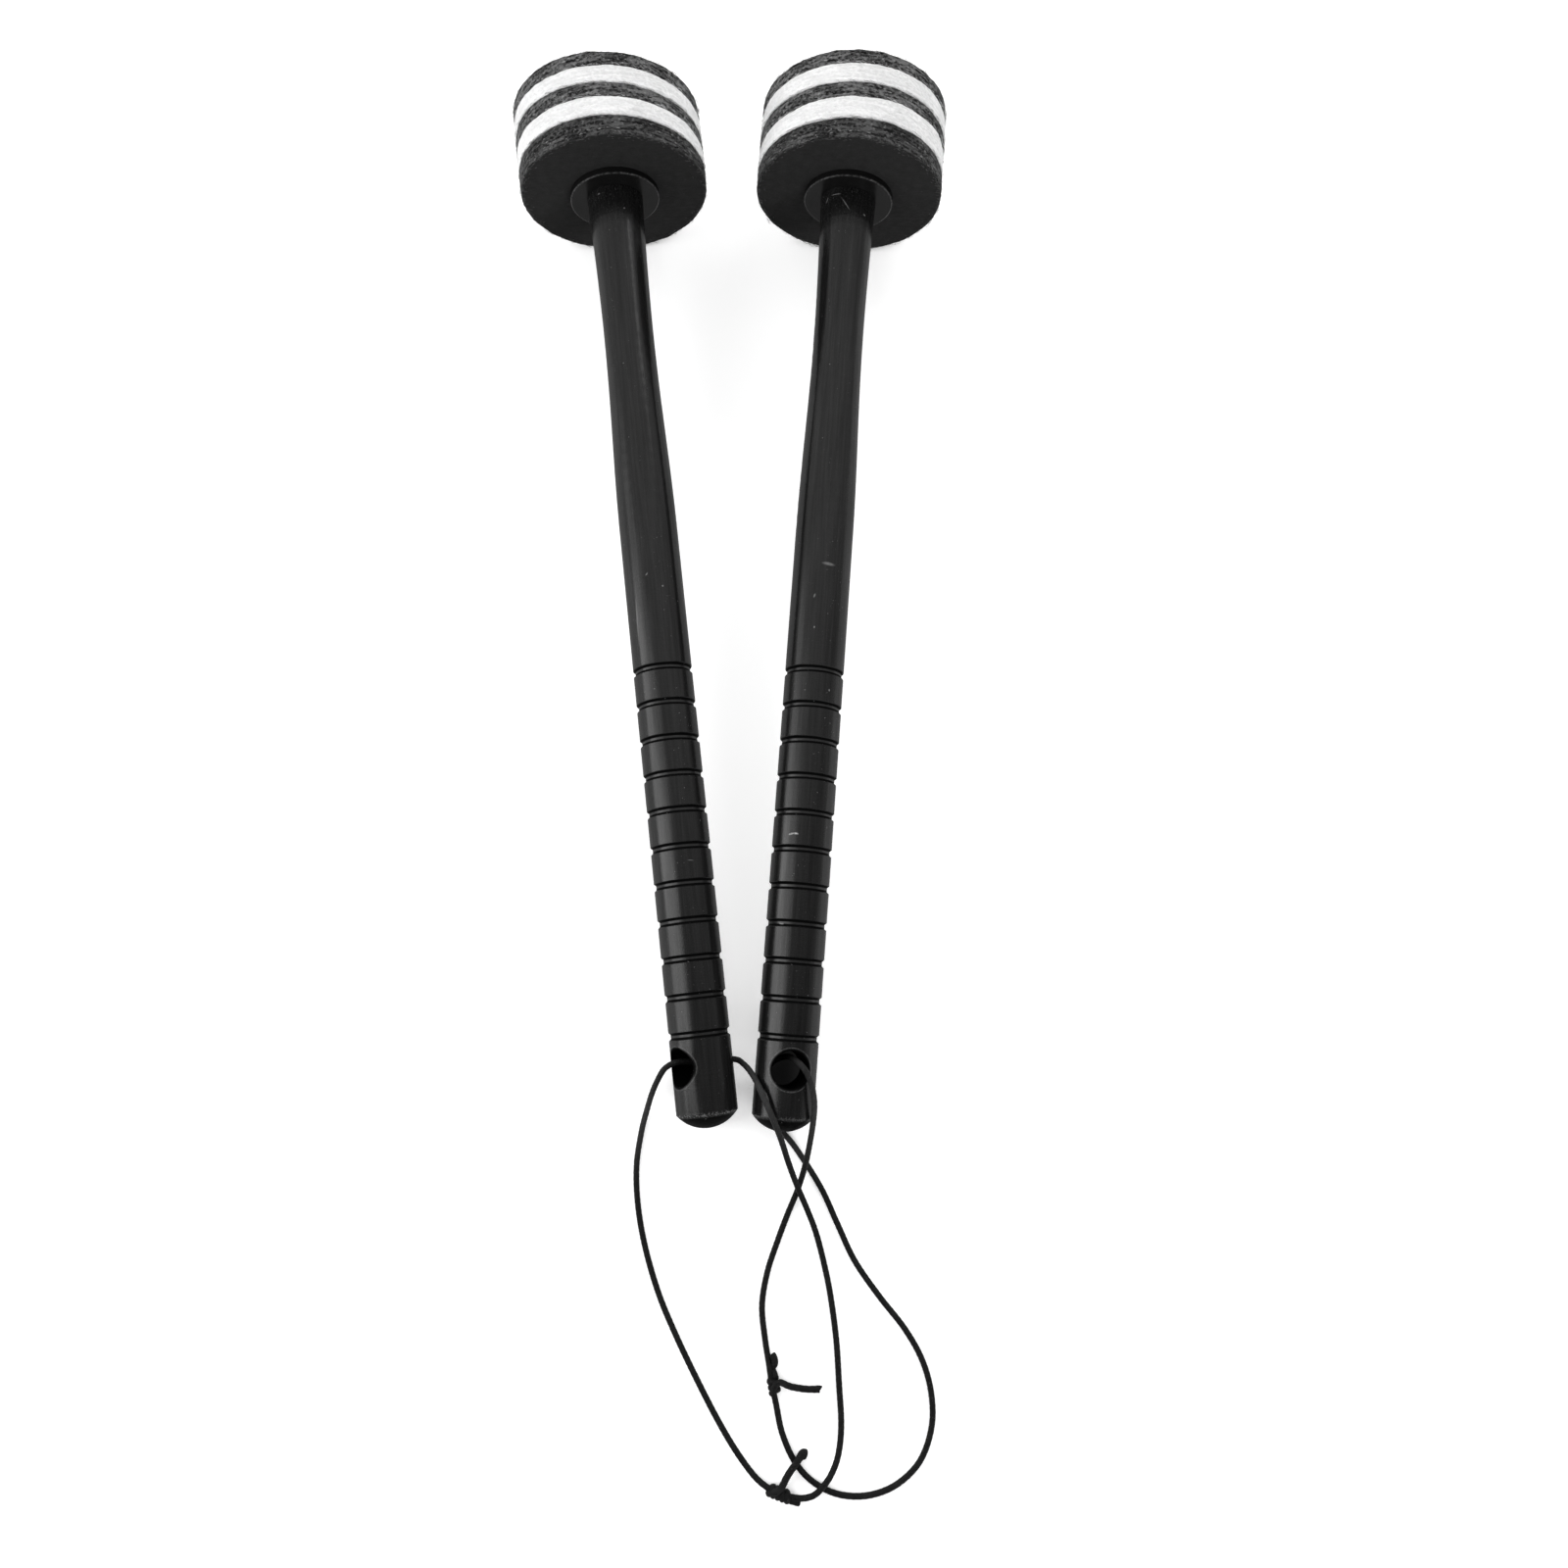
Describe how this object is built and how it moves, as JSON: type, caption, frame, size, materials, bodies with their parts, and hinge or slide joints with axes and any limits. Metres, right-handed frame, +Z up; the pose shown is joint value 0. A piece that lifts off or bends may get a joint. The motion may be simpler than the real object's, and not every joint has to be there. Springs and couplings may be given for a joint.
{
  "type": "focus training sticks",
  "caption": "Focus training sticks for martial arts and boxing drills: grooved black handles with a slim waist, layered felt striking heads and knotted wrist cords.",
  "frame": {"origin": "on the table, under the middle of the pair of sticks without their cords", "axes": "+Z up from the table, +Y along the pair from the butts to the heads, +X to the right-hand stick"},
  "size_m": [0.1576, 0.4776, 0.0692],
  "materials": {
    "handle_plastic": "turned, satin black",
    "washer_plastic": "smooth black",
    "black_felt": "pressed wool felt",
    "white_felt": "pressed wool felt",
    "steel": "zinc plated",
    "cord": "waxed black cord"
  },
  "bodies": {
    "right_stick": {"right_handle": "handle_plastic", "right_backing_washer": "washer_plastic", "right_felt_disc_1": "black_felt", "right_felt_disc_2": "white_felt", "right_felt_disc_3": "black_felt", "right_felt_disc_4": "white_felt", "right_felt_disc_5": "black_felt", "right_clamp_washer": "steel", "right_head_screw": "steel", "right_wrist_cord": "cord", "right_cord_knot": "cord"},
    "left_stick": {"left_handle": "handle_plastic", "left_backing_washer": "washer_plastic", "left_felt_disc_1": "black_felt", "left_felt_disc_2": "white_felt", "left_felt_disc_3": "black_felt", "left_felt_disc_4": "white_felt", "left_felt_disc_5": "black_felt", "left_clamp_washer": "steel", "left_head_screw": "steel", "left_wrist_cord": "cord", "left_cord_knot": "cord"}
  },
  "joints": [
    {"name": "left_stick_lift", "type": "slide", "parent": "right_stick", "child": "left_stick", "axis": [0, 0, 1], "range_m": [0, 0.25]}
  ]
}
